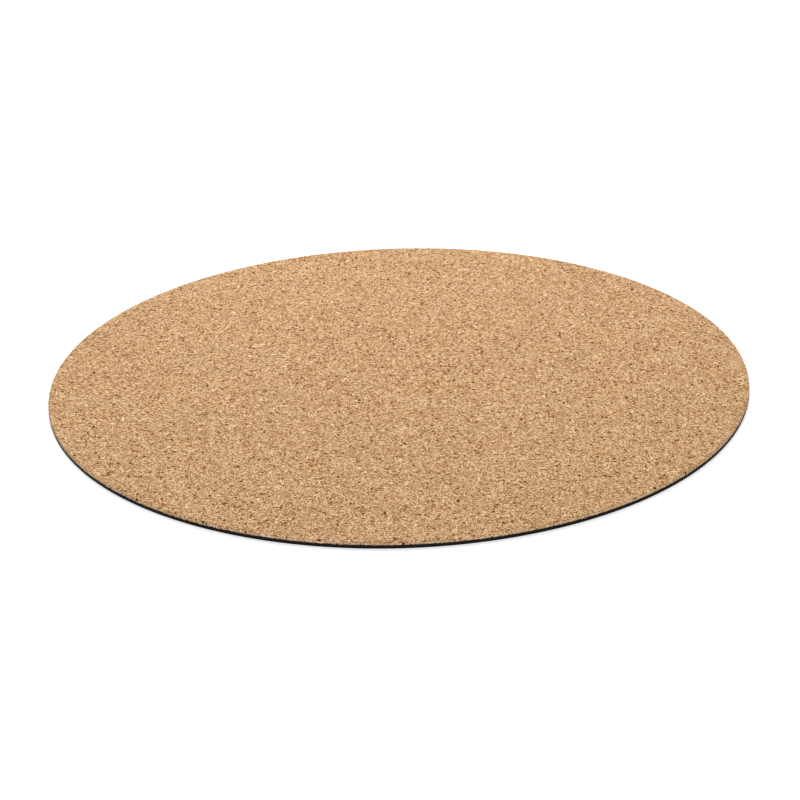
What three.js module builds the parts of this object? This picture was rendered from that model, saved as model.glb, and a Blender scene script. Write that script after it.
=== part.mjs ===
// A round desk mouse pad: a thin sheet of pressed cork granules glued to a black rubber backing.
// The layers are laminated as wide sheets and die-cut in one stroke, so they share one edge.
// Millimetres, +Z up. The origin is the middle of the underside, where the pad lies on the desk.

import * as THREE from 'three';

// Driving dimensions
const PAD_DIAMETER = 200;
const BACKING_THICKNESS = 1.0;
const GLUE_THICKNESS = 0.1;
const CORK_THICKNESS = 0.9;
const CORK_EDGE_ROUND = 0.3; // the knife drags the cork's top edge down
const BACKING_EDGE_ROUND = 0.15; // the soft lower edge of the rubber

// Fineness of the curves
const RIM_FLATS = 144;
const EDGE_ROUND_FLATS = 4;

// The layers stack up from the desk, each on the one below.
const padRadius = PAD_DIAMETER / 2;
const backingTop = BACKING_THICKNESS;
const glueTop = backingTop + GLUE_THICKNESS;
const corkTop = glueTop + CORK_THICKNESS;

// An edge round takes up half of its layer's edge at most.
const corkEdgeRound = Math.min(CORK_EDGE_ROUND, CORK_THICKNESS / 2);
const backingEdgeRound = Math.min(BACKING_EDGE_ROUND, BACKING_THICKNESS / 2);

// The outline of a layer as radius and height, from the axis out along the lower face, up the cut edge
// and back along the upper face to the axis. An edge with a round of 0 stays square.
function layerOutline(bottom, top, lowerRound, upperRound) {
  const outline = new THREE.Path();
  outline.moveTo(0, bottom);
  outline.lineTo(padRadius - lowerRound, bottom);
  outline.absarc(padRadius - lowerRound, bottom + lowerRound, lowerRound, -Math.PI / 2, 0);
  outline.absarc(padRadius - upperRound, top - upperRound, upperRound, 0, Math.PI / 2);
  outline.lineTo(0, top);
  return outline.getPoints(EDGE_ROUND_FLATS / 2); // an arc gets twice the number asked for
}

// A lathe turns its outline about Y, so the finished disc is tipped up to lie flat on Z.
function discLayer(name, outline, finish) {
  const disc = new THREE.LatheGeometry(outline, RIM_FLATS).rotateX(Math.PI / 2);
  const mesh = new THREE.Mesh(disc, new THREE.MeshStandardMaterial(finish));
  mesh.name = name;
  return mesh;
}

// Matt black rubber sheet, which grips the desk
const backing = discLayer('rubber_backing', layerOutline(0, backingTop, backingEdgeRound, 0), {
  color: '#1d1b1c',
  roughness: 0.85,
  metalness: 0,
});

// Cured contact glue, which holds the cork down all the way out to the cut edge
const glue = discLayer('glue_film', layerOutline(backingTop, glueTop, 0, 0), {
  color: '#8f7a52',
  roughness: 0.5,
  metalness: 0,
});

// Pressed cork granules, the face that is used
const cork = discLayer('cork_sheet', layerOutline(glueTop, corkTop, 0, corkEdgeRound), {
  color: '#c79e76',
  roughness: 0.9,
  metalness: 0,
});

const mousePad = new THREE.Group();
mousePad.add(backing, glue, cork);

export default mousePad;
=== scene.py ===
# A round cork mouse pad on a white studio floor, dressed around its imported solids.
# Metres, +Z up. The layers follow in the order in which the pad is put together, from the desk up.

import math

import bpy
from mathutils import Matrix, Vector


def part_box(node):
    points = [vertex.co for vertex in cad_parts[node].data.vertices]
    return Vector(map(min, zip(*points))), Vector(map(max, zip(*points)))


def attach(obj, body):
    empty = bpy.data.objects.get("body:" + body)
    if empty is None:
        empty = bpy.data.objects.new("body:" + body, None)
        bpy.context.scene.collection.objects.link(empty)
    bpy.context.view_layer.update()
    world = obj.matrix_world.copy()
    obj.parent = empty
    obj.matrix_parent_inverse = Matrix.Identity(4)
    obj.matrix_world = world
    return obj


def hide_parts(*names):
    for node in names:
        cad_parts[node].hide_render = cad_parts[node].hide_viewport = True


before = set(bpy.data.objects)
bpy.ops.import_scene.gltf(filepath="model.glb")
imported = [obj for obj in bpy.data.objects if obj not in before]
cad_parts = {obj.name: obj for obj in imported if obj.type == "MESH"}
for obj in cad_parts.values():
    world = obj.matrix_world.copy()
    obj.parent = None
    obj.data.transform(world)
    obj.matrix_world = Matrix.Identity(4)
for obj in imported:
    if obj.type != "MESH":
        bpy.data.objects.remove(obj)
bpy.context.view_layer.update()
scene = bpy.context.scene

# Camera
# A long lens looks down at the pad from in front, from about seven pad radii away. The camera is rolled a
# little, so that the pad's right side sits higher in the picture.
LENS_MM = 117.0
SENSOR_MM = 36.0
CAMERA_DISTANCE = 0.7375
CAMERA_RISE = math.radians(25.05)
CAMERA_ROLL = math.radians(1.73)
AIM = Vector((0.0003, -0.0113, 0.0))


def looking_along(place, direction):
    """The pose of a camera or a lamp at a place, turned to look along a direction."""
    return Matrix.Translation(place) @ direction.to_track_quat("-Z", "Y").to_matrix().to_4x4()


camera = bpy.data.objects.new("camera", bpy.data.cameras.new("camera"))
camera.data.lens = LENS_MM
camera.data.sensor_width = SENSOR_MM
towards = Vector((0.0, math.cos(CAMERA_RISE), -math.sin(CAMERA_RISE)))
roll = Matrix.Rotation(-CAMERA_ROLL, 4, "Z")
camera.matrix_world = looking_along(AIM - towards * CAMERA_DISTANCE, towards) @ roll
scene.collection.objects.link(camera)
scene.camera = camera
scene.view_settings.view_transform = "Standard"

# Floor and light
# A round sheet of white paper in a white room, under a wide soft box that hangs low behind the pad, with a
# second one in front for the cut edge. The paper shows white to the camera and keeps the pad's shadow.
WHOLE_TURN = 2.0 * math.pi
FLOOR_RADIUS = 0.7
FLOOR_DROP = 0.00002
FLOOR_SIDES = 96
FLOOR_WHITE = (0.8, 0.8, 0.8, 1.0)
FLOOR_GLOW = 0.48
ROOM_WHITE = (1.0, 1.0, 1.0, 1.0)
ROOM_LIGHT = 0.40
SOFT_BOXES = {
    "back_box": {"place": Vector((-0.05, 0.46, 0.60)), "side": 0.5, "power": 4.9},
    "front_box": {"place": Vector((0.10, -1.30, 0.55)), "side": 1.0, "power": 6.6},
}


class Wire:
    """An output of a node. Plain arithmetic on it adds Math nodes to the same tree."""

    def __init__(self, socket):
        self.socket = socket

    def math(self, operation, *values):
        """The result of a Math node, with this output as its first value."""
        step = self.socket.id_data.nodes.new("ShaderNodeMath")
        step.operation = operation
        for place, value in zip(step.inputs, (self, *values)):
            plug(value, place)
        return Wire(step.outputs[0])

    def __add__(self, value):
        return self.math("ADD", value)

    def __sub__(self, value):
        return self.math("SUBTRACT", value)

    def __mul__(self, value):
        return self.math("MULTIPLY", value)

    def __truediv__(self, value):
        return self.math("DIVIDE", value)

    def __rsub__(self, value):
        return self.math("MULTIPLY_ADD", -1.0, value)

    def __rtruediv__(self, value):
        return self.math("POWER", -1.0) * value

    __radd__ = __add__
    __rmul__ = __mul__


def plug(value, socket):
    """Joins a wire to a socket, or sets a plain value on it."""
    if isinstance(value, Wire):
        socket.id_data.links.new(value.socket, socket)
    else:
        socket.default_value = value


def add(tree, kind, inputs, **settings):
    """Adds a node with its settings and inputs to a tree."""
    node = tree.nodes.new(kind)
    for name, value in settings.items():
        setattr(node, name, value)
    for name, value in inputs.items():
        plug(value, node.inputs[name])
    return node


def flow(node, name=0):
    """The wire that comes out of a node's first output, or out of the one with this name."""
    return Wire(node.outputs[name])


def seen_directly(tree):
    """1 where the camera looks at a surface straight, in a reflection or through glass, otherwise 0."""
    path = add(tree, "ShaderNodeLightPath", {})
    seen = flow(path, "Is Camera Ray").math("MAXIMUM", flow(path, "Is Glossy Ray"))
    return seen.math("MAXIMUM", flow(path, "Is Transmission Ray"))


room = bpy.data.worlds.new("white_room")
room.use_nodes = True
scene.world = room
room_walls = room.node_tree.nodes["Background"]
room_walls.inputs["Color"].default_value = ROOM_WHITE
plug(seen_directly(room.node_tree) * (1.0 - ROOM_LIGHT) + ROOM_LIGHT, room_walls.inputs["Strength"])

floor_rim = []
for side in range(FLOOR_SIDES):
    turn = WHOLE_TURN * side / FLOOR_SIDES
    floor_rim.append((FLOOR_RADIUS * math.cos(turn), FLOOR_RADIUS * math.sin(turn), -FLOOR_DROP))
floor_mesh = bpy.data.meshes.new("paper_floor")
floor_mesh.from_pydata(floor_rim, [], [range(FLOOR_SIDES)])
paper = bpy.data.materials.new("white_paper")
paper.use_nodes = True
paper.node_tree.nodes.clear()
glow = seen_directly(paper.node_tree) * FLOOR_GLOW
paper_glow = add(paper.node_tree, "ShaderNodeEmission", {"Strength": glow})
paper_body = add(paper.node_tree, "ShaderNodeBsdfDiffuse", {"Color": FLOOR_WHITE})
paper_both = add(paper.node_tree, "ShaderNodeAddShader", {0: flow(paper_body), 1: flow(paper_glow)})
add(paper.node_tree, "ShaderNodeOutputMaterial", {"Surface": flow(paper_both)})
floor_mesh.materials.append(paper)
floor = bpy.data.objects.new("paper_floor", floor_mesh)
scene.collection.objects.link(floor)

for name, box in SOFT_BOXES.items():
    lamp = bpy.data.objects.new(name, bpy.data.lights.new(name, "AREA"))
    lamp.data.shape = "SQUARE"
    lamp.data.size = box["side"]
    lamp.data.energy = box["power"]
    lamp.matrix_world = looking_along(box["place"], -box["place"])
    scene.collection.objects.link(lamp)

# Rubber backing
# A sheet of black rubber, pressed with a fine egg-box grip on its underside. It is die-cut in one stroke
# with the layers glued on top of it, lies loose on the desk, and shows as the dark line under the cork.
MM = 0.001
backing_low, backing_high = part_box("rubber_backing")
pad_radius = backing_high.x
RUBBER_CELLS = 290
GRID_SIDES = 4
WALL_ROWS = 8
RUBBER_LOWER_ROUND = 0.15 * MM
RUBBER_CUT_DEPTH = 0.03 * MM
RUBBER_CUT_GRAIN = 0.7 * MM
GRIP_PITCH = 4.5 * MM
GRIP_DEPTH = 0.3 * MM
GRIP_MARGIN = 1.2 * MM
GRIP_FULL = 3.6 * MM
FACE_TOLERANCE = 0.001 * MM

# Measured on a layer of radius 1: points nearer than this become one, and the rim starts at this square.
MERGE_DISTANCE = 0.00001
RIM_SQUARED = 0.999

# Each piece has a flat map, on which its colours can be laid down. The main face takes up most of it, the
# cut wall lies below that in strips, and the other face has a corner. Places are shares of the map.
MAP_NAME = "OFBake"
MAP_MAIN = ((0.005, 0.090, 0.0), (0.995, 0.995, 0.0))
MAP_WALL = ((0.005, 0.005, 0.0), (0.910, 0.085, 0.0))
MAP_OTHER = ((0.920, 0.005, 0.0), (0.995, 0.080, 0.0))
WALL_STRIPS = 4
STRIP_FILL = 0.8


def new_tree(name, kind, inputs, outputs):
    """A node tree with named sockets, and the nodes that bring its inputs in and its outputs out."""
    tree = bpy.data.node_groups.new(name, kind)
    for label, socket_kind in inputs.items():
        tree.interface.new_socket(label, in_out="INPUT", socket_type="NodeSocket" + socket_kind)
    for label, socket_kind in outputs.items():
        tree.interface.new_socket(label, in_out="OUTPUT", socket_type="NodeSocket" + socket_kind)
    return tree, tree.nodes.new("NodeGroupInput"), tree.nodes.new("NodeGroupOutput")


def split(vector):
    """The three numbers of a vector or a colour."""
    parts = add(vector.socket.id_data, "ShaderNodeSeparateXYZ", {0: vector})
    return [flow(parts, axis) for axis in "XYZ"]


def combine(tree, x, y, z):
    """The vector of three numbers."""
    return flow(add(tree, "ShaderNodeCombineXYZ", {"X": x, "Y": y, "Z": z}))


def vectors(tree, operation, *values):
    """Arithmetic on whole vectors."""
    return flow(add(tree, "ShaderNodeVectorMath", dict(enumerate(values)), operation=operation))


def smooth_step(tree, value, start, end):
    """Goes softly from 0 to 1 as a value goes from start to end."""
    limits = {"Value": value, "From Min": start, "From Max": end}
    return flow(add(tree, "ShaderNodeMapRange", limits, interpolation_type="SMOOTHSTEP"))


def between(share, first, second):
    """A number between two, by share."""
    return first + share * (second - first)


def from_axis(x, y):
    """How far a point lies from the pad's axis."""
    return (x * x + y * y).math("SQRT")


def crumbled(tree, place, size, feature="F1"):
    """Space broken into irregular cells of about this size, each with a random colour."""
    return add(tree, "ShaderNodeTexVoronoi", {"Vector": place, "Scale": 1.0 / size}, feature=feature)


def position(tree):
    """The three coordinates of each point of a shape."""
    return split(flow(add(tree, "GeometryNodeInputPosition", {})))


def moved(tree, shape, x, y, z):
    """A shape with its points moved to these coordinates."""
    place = combine(tree, x, y, z)
    return flow(add(tree, "GeometryNodeSetPosition", {"Geometry": shape, "Position": place}))


def mapped(tree, shape, place, corners):
    """Lays a face out in its own part of the piece's flat map."""
    low, high = corners
    span = tuple(b - a for a, b in zip(low, high))
    spread = vectors(tree, "MULTIPLY_ADD", place, span, low)
    kept = {"Geometry": shape, "Name": MAP_NAME, "Value": spread}
    return flow(add(tree, "GeometryNodeStoreNamedAttribute", kept, data_type="FLOAT2", domain="CORNER"))


def in_strips(tree, place):
    """Cuts the long map of a wall into strips, laid one above the other with a gap after each."""
    middle = add(tree, "GeometryNodeFieldOnDomain", {0: place}, data_type="FLOAT_VECTOR", domain="FACE")
    strip = (split(flow(middle))[0] * WALL_STRIPS).math("FLOOR")
    along, up, _ = split(place)
    return combine(tree, along * WALL_STRIPS - strip, (strip + up * STRIP_FILL) / WALL_STRIPS, 0.0)


def gridded_face(tree, cells):
    """A disc of radius 1 in small, nearly square cells: a square grid, its rings drawn out to circles."""
    grid_sizes = {"Size X": 2.0, "Size Y": 2.0, "Vertices X": cells + 1.0, "Vertices Y": cells + 1.0}
    grid = add(tree, "GeometryNodeMeshGrid", grid_sizes)
    shape = mapped(tree, flow(grid, "Mesh"), flow(grid, "UV Map"), MAP_MAIN)
    across, along, _ = position(tree)
    sideways = across.math("ABSOLUTE").math("GREATER_THAN", along.math("ABSOLUTE"))
    ring = between(sideways, along, across)
    eighth = WHOLE_TURN / 8.0
    turn_lengthways = 2.0 * eighth - across / along * eighth
    turn_sideways = along / across * eighth
    turn = between(sideways, turn_lengthways, turn_sideways)
    disc = moved(tree, shape, ring * turn.math("COSINE"), ring * turn.math("SINE"), 0.0)
    return flow(add(tree, "GeometryNodeTriangulate", {"Mesh": disc}, quad_method="SHORTEST_DIAGONAL"))


def plain_face(tree, flats, corners):
    """A disc of radius 1 in thin wedges, for a face that is covered."""
    wedges = {"Vertices": flats, "Radius": 1.0}
    disc = add(tree, "GeometryNodeMeshCircle", wedges, fill_type="TRIANGLE_FAN")
    x, y, _ = position(tree)
    return mapped(tree, flow(disc), combine(tree, x * 0.5 + 0.5, y * 0.5 + 0.5, 0.0), corners)


def round_inset(into_round, size):
    """How far an edge round of this size draws the edge in, at a point this far up into it."""
    over = into_round.math("MAXIMUM", 0.0)
    return size - (size * size - over * over).math("SQRT")


LAYER_SIZES = {
    "Rim Flats": "Int",
    "Wall Rows": "Int",
    "Radius": "Float",
    "Bottom": "Float",
    "Top": "Float",
    "Lower Round": "Float",
    "Upper Round": "Float",
    "Cut Depth": "Float",
    "Cut Grain": "Float",
}
layer_inputs = {"Lower Face": "Geometry", "Upper Face": "Geometry", **LAYER_SIZES}
layer_outputs = {"Layer": "Geometry"}
layer, layer_in, layer_out = new_tree("die_cut_layer", "GeometryNodeTree", layer_inputs, layer_outputs)
size = {name: flow(layer_in, name) for name in layer_inputs}

# The cut wall is a grid rolled up to a ring of radius 1 and height 1, with its rows closer at both edges.
wall_sizes = {
    "Size X": 1.0,
    "Size Y": 1.0,
    "Vertices X": size["Rim Flats"] + 1.0,
    "Vertices Y": size["Wall Rows"] + 1.0,
}
wall = add(layer, "GeometryNodeMeshGrid", wall_sizes)
wall_shape = mapped(layer, flow(wall, "Mesh"), in_strips(layer, flow(wall, "UV Map")), MAP_WALL)
along, up, _ = position(layer)
turn = (along + 0.5) * WHOLE_TURN
rise = smooth_step(layer, up, -0.5, 0.5)
wall_shape = moved(layer, wall_shape, turn.math("COSINE"), turn.math("SINE"), rise)

# The wall and the two faces are closed to one shell.
lower_face = flow(add(layer, "GeometryNodeFlipFaces", {"Mesh": size["Lower Face"]}))
lifted = {"Geometry": size["Upper Face"], "Translation": (0.0, 0.0, 1.0)}
upper_face = flow(add(layer, "GeometryNodeTransform", lifted))
joined = add(layer, "GeometryNodeJoinGeometry", {})
for shell in (lower_face, upper_face, wall_shape):
    plug(shell, joined.inputs[0])
merged = {"Geometry": flow(joined), "Distance": MERGE_DISTANCE}
closed = flow(add(layer, "GeometryNodeMergeByDistance", merged))

# The shell is brought to size, drawn in along the edge rounds and torn a little at the rim.
x, y, level = position(layer)
height = between(level, size["Bottom"], size["Top"])
upper_inset = round_inset(height - size["Top"] + size["Upper Round"], size["Upper Round"])
lower_inset = round_inset(size["Bottom"] + size["Lower Round"] - height, size["Lower Round"])
on_rim = (x * x + y * y).math("GREATER_THAN", RIM_SQUARED)
grain_place = combine(layer, x * size["Radius"], y * size["Radius"], height)
torn = split(flow(crumbled(layer, grain_place, size["Cut Grain"]), "Color"))[0]
reach = size["Radius"] - upper_inset - lower_inset - torn * torn * size["Cut Depth"] * on_rim
plug(moved(layer, closed, x * reach, y * reach, height), layer_out.inputs["Layer"])


def cut_layer(tree, lower, upper, sizes):
    """The wall and the two faces of a layer, closed and brought to size inside another tree."""
    made = add(tree, "GeometryNodeGroup", {}, node_tree=layer)
    plug(lower, made.inputs["Lower Face"])
    plug(upper, made.inputs["Upper Face"])
    for name in LAYER_SIZES:
        plug(flow(sizes, name), made.inputs[name])
    return flow(made, "Layer")


def finished(tree, shape, finish):
    """Ends a tree: smooth shading, real geometry, and the layer's finish on it."""
    smooth = flow(add(tree, "GeometryNodeSetShadeSmooth", {"Geometry": shape}))
    real = flow(add(tree, "GeometryNodeRealizeInstances", {"Geometry": smooth}))
    return flow(add(tree, "GeometryNodeSetMaterial", {"Geometry": real, "Material": finish}))


def made_layer(name, tree, values):
    """An object with the plain mesh that a tree makes from these values."""
    piece = bpy.data.objects.new(name, bpy.data.meshes.new(name))
    scene.collection.objects.link(piece)
    modifier = piece.modifiers.new("tree", "NODES")
    modifier.node_group = tree
    for item in tree.interface.items_tree:
        if item.in_out == "INPUT":
            modifier[item.identifier] = values[item.name]
    graph = bpy.context.evaluated_depsgraph_get()
    grown = piece.evaluated_get(graph)
    mesh = bpy.data.meshes.new_from_object(grown, preserve_all_data_layers=True, depsgraph=graph)
    piece.modifiers.clear()
    piece.data = mesh
    return piece


grip_inputs = {
    **LAYER_SIZES,
    "Cells": "Int",
    "Grip Pitch": "Float",
    "Grip Depth": "Float",
    "Grip Margin": "Float",
    "Grip Full": "Float",
    "Finish": "Material",
}
grip, grip_in, grip_out = new_tree("gripping_sheet", "GeometryNodeTree", grip_inputs, {"Sheet": "Geometry"})
lower_face = gridded_face(grip, flow(grip_in, "Cells"))
upper_face = plain_face(grip, flow(grip_in, "Rim Flats"), MAP_OTHER)
sheet = cut_layer(grip, lower_face, upper_face, grip_in)

# Two waves cross at right angles, on the slant. Their sum goes from -2 to 2, and the hollows from 1 to 0.
x, y, z = position(grip)
wave = math.sqrt(0.5) * WHOLE_TURN / flow(grip_in, "Grip Pitch")
waves = ((x + y) * wave).math("COSINE") + ((x - y) * wave).math("COSINE")
inland = flow(grip_in, "Radius") - from_axis(x, y)
full = smooth_step(grip, inland, flow(grip_in, "Grip Margin"), flow(grip_in, "Grip Full"))
underneath = z.math("LESS_THAN", flow(grip_in, "Bottom") + FACE_TOLERANCE)
hollow = (0.5 - waves * 0.25) * flow(grip_in, "Grip Depth") * full
sheet = moved(grip, sheet, x, y, z + hollow * underneath)
plug(finished(grip, sheet, flow(grip_in, "Finish")), grip_out.inputs["Sheet"])

# The finish of the rubber, with the effects that the other layers share. Patterns and relief are in
# millimetres. Of the spots for specks, only a share holds one.
RUBBER_BLACK = (0.0042, 0.0036, 0.0042, 1.0)
RUBBER_DUST = (0.016, 0.014, 0.015, 1.0)
CORK_SMEAR = (0.45, 0.27, 0.13, 1.0)
PORES = {"Spacing": 0.28, "Share": 0.4, "Reach": 0.4}
DUST = {"Spacing": 0.9, "Share": 0.06, "Reach": 0.4}
DUST_STRENGTH = 0.7
RUBBER_DRIFT = {"Size": 14.0, "Amount": 0.5}
SKIN_SIZE = 0.33
SKIN_DETAIL = 3.0
SKIN_STRENGTH = 0.15
RUBBER_ROUGHNESS = 0.65
SKIN_ROUGHNESS = 0.3
RUBBER_SHINE = 0.15
SKIN_RELIEF = 0.02
PORE_RELIEF = 0.03
BORDER_RISE = 0.05
# Cork dust on the rubber, and rubber black near the cut that is partly painted shade.
CUT_SMEAR_AND_SHADE = {
    "Rim": pad_radius / MM,
    "Depth": 0.6,
    "Full Depth": 0.3,
    "Border": backing_high.z / MM + BORDER_RISE,
    "Reach": 0.9,
    "Grain": 0.8,
}
SMEAR_SOFTNESS = 0.03
SPECK_SOFTNESS = 0.1
PLAIN_DETAIL = 2.0


def noise(tree, place, size, detail=PLAIN_DETAIL):
    """Cloudy variation from 0 to 1, with lumps of about this size."""
    return flow(add(tree, "ShaderNodeTexNoise", {"Vector": place, "Scale": 1.0 / size, "Detail": detail}))


# Slow drift: a factor that wanders about 1
drift_inputs = {"Place": "Vector", "Size": "Float", "Amount": "Float"}
drift, drift_in, drift_out = new_tree("slow_drift", "ShaderNodeTree", drift_inputs, {"Factor": "Float"})
clouds = noise(drift, flow(drift_in, "Place"), flow(drift_in, "Size"))
plug(1.0 + (clouds - 0.5) * flow(drift_in, "Amount"), drift_out.inputs["Factor"])

# Scattered specks: round spots that reach out from their middles by a share of their spacing
speck_inputs = {"Place": "Vector", "Spacing": "Float", "Share": "Float", "Reach": "Float"}
specks, speck_in, speck_out = new_tree("scattered_specks", "ShaderNodeTree", speck_inputs, {"Mask": "Float"})
spots = crumbled(specks, flow(speck_in, "Place"), flow(speck_in, "Spacing"))
chosen = split(flow(spots, "Color"))[0].math("LESS_THAN", flow(speck_in, "Share"))
speck_reach = flow(speck_in, "Reach")
inside = smooth_step(specks, flow(spots, "Distance"), speck_reach, speck_reach - SPECK_SOFTNESS)
plug(chosen * inside, speck_out.inputs["Mask"])

# Smeared cut: near the rim the knife drags cork dust down and rubber up across a ragged border. The rubber
# black below it is also painted shade: of granules chipped out at the cork's foot, and of the glue set back.
smear_and_shade_inputs = {name: "Float" for name in CUT_SMEAR_AND_SHADE}
smear_and_shade_inputs["Place"] = "Vector"
smear_and_shade_outputs = {"Dust": "Float", "Drag And Shade": "Float"}
smear_and_shade, smear_and_shade_in, smear_and_shade_out = new_tree("smeared_and_shaded_cut", "ShaderNodeTree", smear_and_shade_inputs, smear_and_shade_outputs)
x, y, z = split(flow(smear_and_shade_in, "Place"))
bites = noise(smear_and_shade, combine(smear_and_shade, x, y, 0.0), flow(smear_and_shade_in, "Grain"))
ragged = flow(smear_and_shade_in, "Border") + (bites - 0.5) * flow(smear_and_shade_in, "Reach")
above = smooth_step(smear_and_shade, z - ragged, -SMEAR_SOFTNESS, SMEAR_SOFTNESS)
inland = flow(smear_and_shade_in, "Rim") - from_axis(x, y)
at_cut = smooth_step(smear_and_shade, inland, flow(smear_and_shade_in, "Depth"), flow(smear_and_shade_in, "Full Depth"))
plug(at_cut * above, smear_and_shade_out.inputs["Dust"])
plug(at_cut * (1.0 - above), smear_and_shade_out.inputs["Drag And Shade"])


def effect(tree, group, place, values, output=0):
    """Sets a shared effect in a material, at the place and with the values that it has there."""
    made = add(tree, "ShaderNodeGroup", {}, node_tree=group)
    for name, value in {"Place": place, **values}.items():
        plug(value, made.inputs[name])
    return flow(made, output)


def scaled(tree, vector, factor):
    """A vector or a colour times a factor."""
    return flow(add(tree, "ShaderNodeVectorMath", {0: vector, "Scale": factor}, operation="SCALE"))


def blend(tree, share, first, second, way="MIX"):
    """A colour between two, by share. A Mix node has its colours at inputs 6 and 7 and at output 2."""
    inputs = {0: share, 6: first, 7: second}
    return flow(add(tree, "ShaderNodeMix", inputs, data_type="RGBA", blend_type=way), 2)


def new_finish(name):
    """A material with its Principled surface, and the place on the piece in millimetres for its patterns."""
    material = bpy.data.materials.new(name)
    material.use_nodes = True
    tree = material.node_tree
    place = scaled(tree, flow(add(tree, "ShaderNodeTexCoord", {}), "Object"), 1.0 / MM)
    return material, tree, tree.nodes["Principled BSDF"], place


def set_relief(tree, surface, height):
    """Gives a surface fine relief, from a height in millimetres."""
    bump = add(tree, "ShaderNodeBump", {"Height": height, "Strength": 1.0, "Distance": MM})
    plug(flow(bump), surface.inputs["Normal"])


rubber, tree, surface, place = new_finish("matt_black_rubber")
pores = effect(tree, specks, place, PORES)
dust = effect(tree, specks, place, DUST)
tone = effect(tree, drift, place, RUBBER_DRIFT)
cork_dust = effect(tree, smear_and_shade, place, CUT_SMEAR_AND_SHADE, "Dust")
skin = noise(tree, place, SKIN_SIZE, SKIN_DETAIL)
dusty = dust * DUST_STRENGTH + skin * SKIN_STRENGTH
black = scaled(tree, blend(tree, dusty, RUBBER_BLACK, RUBBER_DUST), tone)
plug(blend(tree, cork_dust, black, CORK_SMEAR), surface.inputs["Base Color"])
plug(RUBBER_ROUGHNESS + skin * SKIN_ROUGHNESS, surface.inputs["Roughness"])
surface.inputs["Specular IOR Level"].default_value = RUBBER_SHINE
set_relief(tree, surface, skin * SKIN_RELIEF - pores * PORE_RELIEF)

backing_values = {
    "Rim Flats": GRID_SIDES * RUBBER_CELLS,
    "Wall Rows": WALL_ROWS,
    "Radius": pad_radius,
    "Bottom": backing_low.z,
    "Top": backing_high.z,
    "Lower Round": RUBBER_LOWER_ROUND,
    "Upper Round": 0.0,
    "Cut Depth": RUBBER_CUT_DEPTH,
    "Cut Grain": RUBBER_CUT_GRAIN,
    "Cells": RUBBER_CELLS,
    "Grip Pitch": GRIP_PITCH,
    "Grip Depth": GRIP_DEPTH,
    "Grip Margin": GRIP_MARGIN,
    "Grip Full": GRIP_FULL,
    "Finish": rubber,
}
backing = made_layer("rubber_backing_sheet", grip, backing_values)
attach(backing, "root")
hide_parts("rubber_backing")

# Glue film
# Cured contact glue, rolled out between the two sheets before they are pressed together. It is hidden,
# apart from a hairline at the cut edge, where it is squeezed a little way back from the knife.
glue_low, glue_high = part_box("glue_film")
GLUE_FLATS = 720
GLUE_ROWS = 2
GLUE_BACK = 0.03 * MM
GLUE_CUT_DEPTH = 0.05 * MM
GLUE_CUT_GRAIN = 2.0 * MM
GLUE_AMBER = (0.27, 0.185, 0.08, 1.0)
GLUE_DARK = (0.17, 0.11, 0.045, 1.0)
STREAK_SIZE = 2.5
STREAK_DETAIL = 4.0
BUBBLES = {"Spacing": 0.6, "Share": 0.2, "Reach": 0.4}
GLUE_ROUGHNESS = 0.35
STREAK_ROUGHNESS = 0.3
STREAK_RELIEF = 0.02
BUBBLE_RELIEF = 0.02

film_inputs = {**LAYER_SIZES, "Finish": "Material"}
film, film_in, film_out = new_tree("flat_film", "GeometryNodeTree", film_inputs, {"Film": "Geometry"})
lower_face = plain_face(film, flow(film_in, "Rim Flats"), MAP_OTHER)
upper_face = plain_face(film, flow(film_in, "Rim Flats"), MAP_MAIN)
film_shape = cut_layer(film, lower_face, upper_face, film_in)
plug(finished(film, film_shape, flow(film_in, "Finish")), film_out.inputs["Film"])

glue, tree, surface, place = new_finish("cured_glue")
streaks = noise(tree, place, STREAK_SIZE, STREAK_DETAIL)
bubbles = effect(tree, specks, place, BUBBLES)
# Painted shade: the glue's hairline is painted rubber black below the ragged border.
drag_and_shade = effect(tree, smear_and_shade, place, CUT_SMEAR_AND_SHADE, "Drag And Shade")
amber = blend(tree, streaks, GLUE_AMBER, GLUE_DARK)
plug(blend(tree, drag_and_shade, amber, RUBBER_BLACK), surface.inputs["Base Color"])
plug(GLUE_ROUGHNESS + streaks * STREAK_ROUGHNESS, surface.inputs["Roughness"])
set_relief(tree, surface, streaks * STREAK_RELIEF - bubbles * BUBBLE_RELIEF)

glue_values = {
    "Rim Flats": GLUE_FLATS,
    "Wall Rows": GLUE_ROWS,
    "Radius": pad_radius - GLUE_BACK,
    "Bottom": glue_low.z,
    "Top": glue_high.z,
    "Lower Round": 0.0,
    "Upper Round": 0.0,
    "Cut Depth": GLUE_CUT_DEPTH,
    "Cut Grain": GLUE_CUT_GRAIN,
    "Finish": glue,
}
glue_piece = made_layer("glue_layer", film, glue_values)
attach(glue_piece, "root")
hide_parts("glue_film")

# Cork sheet
# Cork granules of about a third of a millimetre, and a few of almost one, pressed with a binder into a
# block and sliced thin. The face shows many tans, dark flecks of bark with a brown rim and pale flecks.
# The knife drags the top edge down, and pulls a few granules out of the rim.
cork_low, cork_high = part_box("cork_sheet")
CORK_CELLS = 280
CORK_UPPER_ROUND = 0.3 * MM
CORK_CUT_DEPTH = 0.08 * MM
CORK_CUT_GRAIN = 0.8 * MM
RELIEF_SPACING = 2.2 * MM
RELIEF_DEPTH = 0.05 * MM
DIP_STEP = 0.55
DIP_BOWL = 0.45

sheet_inputs = {
    **LAYER_SIZES,
    "Cells": "Int",
    "Relief Spacing": "Float",
    "Relief Depth": "Float",
    "Finish": "Material",
}
face, face_in, face_out = new_tree("granular_sheet", "GeometryNodeTree", sheet_inputs, {"Sheet": "Geometry"})
lower_face = plain_face(face, flow(face_in, "Rim Flats"), MAP_OTHER)
upper_face = gridded_face(face, flow(face_in, "Cells"))
sheet = cut_layer(face, lower_face, upper_face, face_in)

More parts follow.
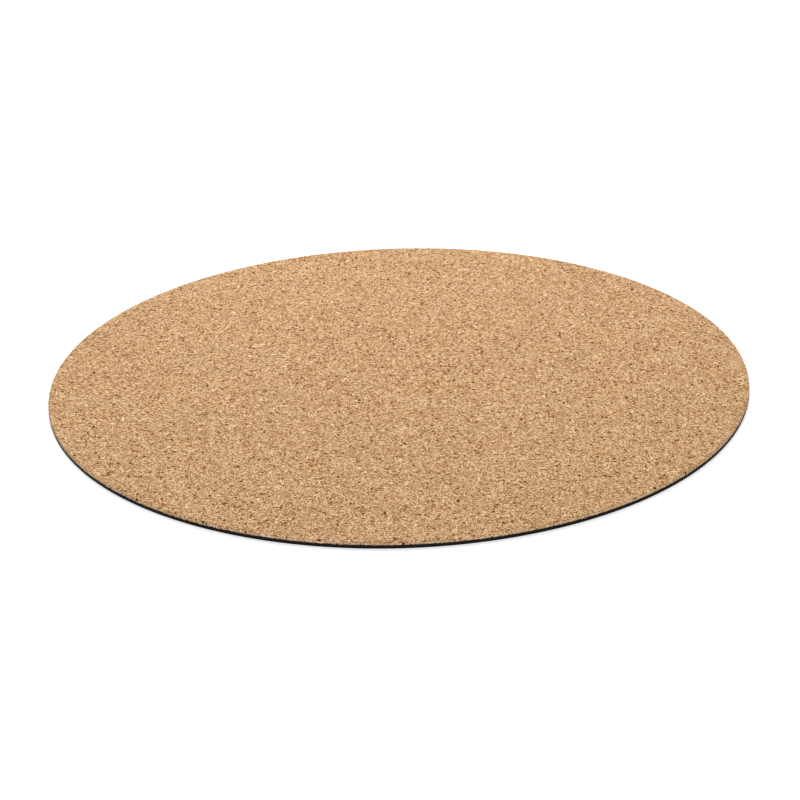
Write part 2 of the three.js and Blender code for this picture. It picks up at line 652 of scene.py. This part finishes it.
# The face dips by steps from lump to lump, and like a bowl within each of them.
x, y, z = position(face)
lumps = crumbled(face, combine(face, x, y, z), flow(face_in, "Relief Spacing"))
dip = split(flow(lumps, "Color"))[0] * DIP_STEP + flow(lumps, "Distance") * DIP_BOWL
on_top = z.math("GREATER_THAN", flow(face_in, "Top") - FACE_TOLERANCE)
sheet = moved(face, sheet, x, y, z - dip * flow(face_in, "Relief Depth") * on_top)
plug(finished(face, sheet, flow(face_in, "Finish")), face_out.inputs["Sheet"])

# The finish of the cork. Its tans run from the darkest granules to the palest, and patterns and relief are
# in millimetres.
CORK_TANS = [
    (0.00, (0.160, 0.027, 0.003)),
    (0.15, (0.340, 0.148, 0.032)),
    (0.38, (0.545, 0.316, 0.149)),
    (0.60, (0.690, 0.443, 0.247)),
    (0.82, (0.830, 0.575, 0.350)),
    (1.00, (0.940, 0.702, 0.461)),
]
CORK_YELLOW = (1.0, 0.98, 0.84, 1.0)
# Painted light: the paler tan laid over the cut wall, for the light on the upright wall.
CORK_CUT_PAINTED_LIGHT = (0.780, 0.570, 0.380, 1.0)
CORK_PALE = (0.990, 0.790, 0.560, 1.0)
CORK_BROWN = (0.300, 0.110, 0.012, 1.0)
CORK_BARK = (0.085, 0.018, 0.001, 1.0)
CRUMB = 0.32
CHUNK = 0.85
CHUNK_SHARE = 0.05
WOBBLES_PER_MM = 2.2
WOBBLE_MIDDLE = (0.5, 0.5, 0.5)
WOBBLE_REACH = (0.3, 0.3, 0.3)
SEAM_WIDTH = 0.05
SEAM_DARKNESS = 0.2
SPECKLE_SIZE = 0.2
SPECKLE_DETAIL = 3.0
GRANULE_CONTRAST = 0.92
TONE_SHIFT = 0.44
GRANULE_TINT = 0.3
PATCH_SIZE = 7.0
PATCH_TINT = 1.2
TINT_SHIFT = 0.45
CORK_DRIFT = {"Size": 22.0, "Amount": 0.10}
CUT_START = 0.15
CUT_FULL = 0.40
CUT_PAINTED_LIGHT_STRENGTH = 0.35
PALE_FLECKS = {"Spacing": 0.68, "Share": 0.13, "Reach": 0.4}
PALE_STRENGTH = 0.8
SMALL_BARK = {"Spacing": 0.52, "Share": 0.15}
LARGE_BARK = {"Spacing": 1.12, "Share": 0.085}
BARK_REACH = 0.40
BARK_STRENGTH = 0.95
BROWN_REACH = 0.48
BROWN_STRENGTH = 0.7
CORK_ROUGHNESS = 0.86
SEAM_SHEEN = 0.2
SPECKLE_ROUGHNESS = 0.08
CORK_SHINE = 0.08
GRANULE_RELIEF = 0.02
SEAM_REACH = 0.10
SEAM_SLOPE = 0.25
BARK_RELIEF = 0.03

cork, tree, surface, place = new_finish("pressed_cork")
wobble_inputs = {"Vector": place, "Scale": WOBBLES_PER_MM, "Detail": PLAIN_DETAIL}
wobble = flow(add(tree, "ShaderNodeTexNoise", wobble_inputs), "Color")
wobble = vectors(tree, "SUBTRACT", wobble, WOBBLE_MIDDLE)
bent = vectors(tree, "MULTIPLY_ADD", wobble, WOBBLE_REACH, place)


def granules(across):
    """Three random numbers for each granule of about this size in millimetres, and the way to its seam."""
    grains = crumbled(tree, bent, across)
    seams = crumbled(tree, bent, across, "DISTANCE_TO_EDGE")
    return split(flow(grains, "Color")), flow(seams) * across


def bark_flecks(reach):
    """Flecks of bark of two sizes, with this reach from their middles as a share of their spacing."""
    small = effect(tree, specks, bent, {**SMALL_BARK, "Reach": reach})
    large = effect(tree, specks, bent, {**LARGE_BARK, "Reach": reach})
    return small.math("MAXIMUM", large)


# Each granule picks its own tan, darker towards its seam.
crumb, crumb_seam = granules(CRUMB)
chunk, chunk_seam = granules(CHUNK)
is_chunk = chunk[1].math("LESS_THAN", CHUNK_SHARE)
seam_gap = between(is_chunk, crumb_seam, chunk_seam)
seam = smooth_step(tree, seam_gap, SEAM_WIDTH, 0.0)
speckle = noise(tree, place, SPECKLE_SIZE, SPECKLE_DETAIL)
pick = between(is_chunk, crumb[0], chunk[0])
pick = pick * GRANULE_CONTRAST + speckle - TONE_SHIFT - seam * SEAM_DARKNESS
tans = add(tree, "ShaderNodeValToRGB", {"Fac": pick})
while len(tans.color_ramp.elements) < len(CORK_TANS):
    tans.color_ramp.elements.new(0.5)
for stop, (spot, tan) in zip(tans.color_ramp.elements, CORK_TANS):
    stop.position = spot
    stop.color = (*tan, 1.0)
tint = crumb[2] * GRANULE_TINT + noise(tree, place, PATCH_SIZE) * PATCH_TINT - TINT_SHIFT
colour = blend(tree, tint, flow(tans, "Color"), CORK_YELLOW, "MULTIPLY")

# The cut wall is painted paler than the face, as painted light on the upright wall. The flecks lie over the
# granules, and so does the dragged rubber, also painted shade of granules chipped out at the wall's foot.
height = split(place)[2]
face_height = cork_high.z / MM
cut = smooth_step(tree, height, face_height - CUT_START, face_height - CUT_FULL)
pale = effect(tree, specks, bent, PALE_FLECKS)
brown = bark_flecks(BROWN_REACH)
bark = bark_flecks(BARK_REACH)
tone = effect(tree, drift, place, CORK_DRIFT)
drag_and_shade = effect(tree, smear_and_shade, place, CUT_SMEAR_AND_SHADE, "Drag And Shade")
# Painted light: the cut wall below the round is painted paler than the face.
colour = blend(tree, cut * CUT_PAINTED_LIGHT_STRENGTH, colour, CORK_CUT_PAINTED_LIGHT)
colour = blend(tree, pale * PALE_STRENGTH, colour, CORK_PALE)
colour = blend(tree, brown * BROWN_STRENGTH, colour, CORK_BROWN)
colour = blend(tree, bark * BARK_STRENGTH, colour, CORK_BARK)
# Painted shade: the foot of the cut wall is painted rubber black, for dragged rubber and chipped-out
# granules.
colour = blend(tree, drag_and_shade, scaled(tree, colour, tone), RUBBER_BLACK)
plug(colour, surface.inputs["Base Color"])
plug(CORK_ROUGHNESS - seam * SEAM_SHEEN + speckle * SPECKLE_ROUGHNESS, surface.inputs["Roughness"])
surface.inputs["Specular IOR Level"].default_value = CORK_SHINE
granule_height = pick * GRANULE_RELIEF + seam_gap.math("MINIMUM", SEAM_REACH) * SEAM_SLOPE
set_relief(tree, surface, granule_height - bark * BARK_RELIEF)

cork_values = {
    "Rim Flats": GRID_SIDES * CORK_CELLS,
    "Wall Rows": WALL_ROWS,
    "Radius": pad_radius,
    "Bottom": cork_low.z,
    "Top": cork_high.z,
    "Lower Round": 0.0,
    "Upper Round": CORK_UPPER_ROUND,
    "Cut Depth": CORK_CUT_DEPTH,
    "Cut Grain": CORK_CUT_GRAIN,
    "Cells": CORK_CELLS,
    "Relief Spacing": RELIEF_SPACING,
    "Relief Depth": RELIEF_DEPTH,
    "Finish": cork,
}
cork_piece = made_layer("cork_face_sheet", face, cork_values)
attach(cork_piece, "root")
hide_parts("cork_sheet")
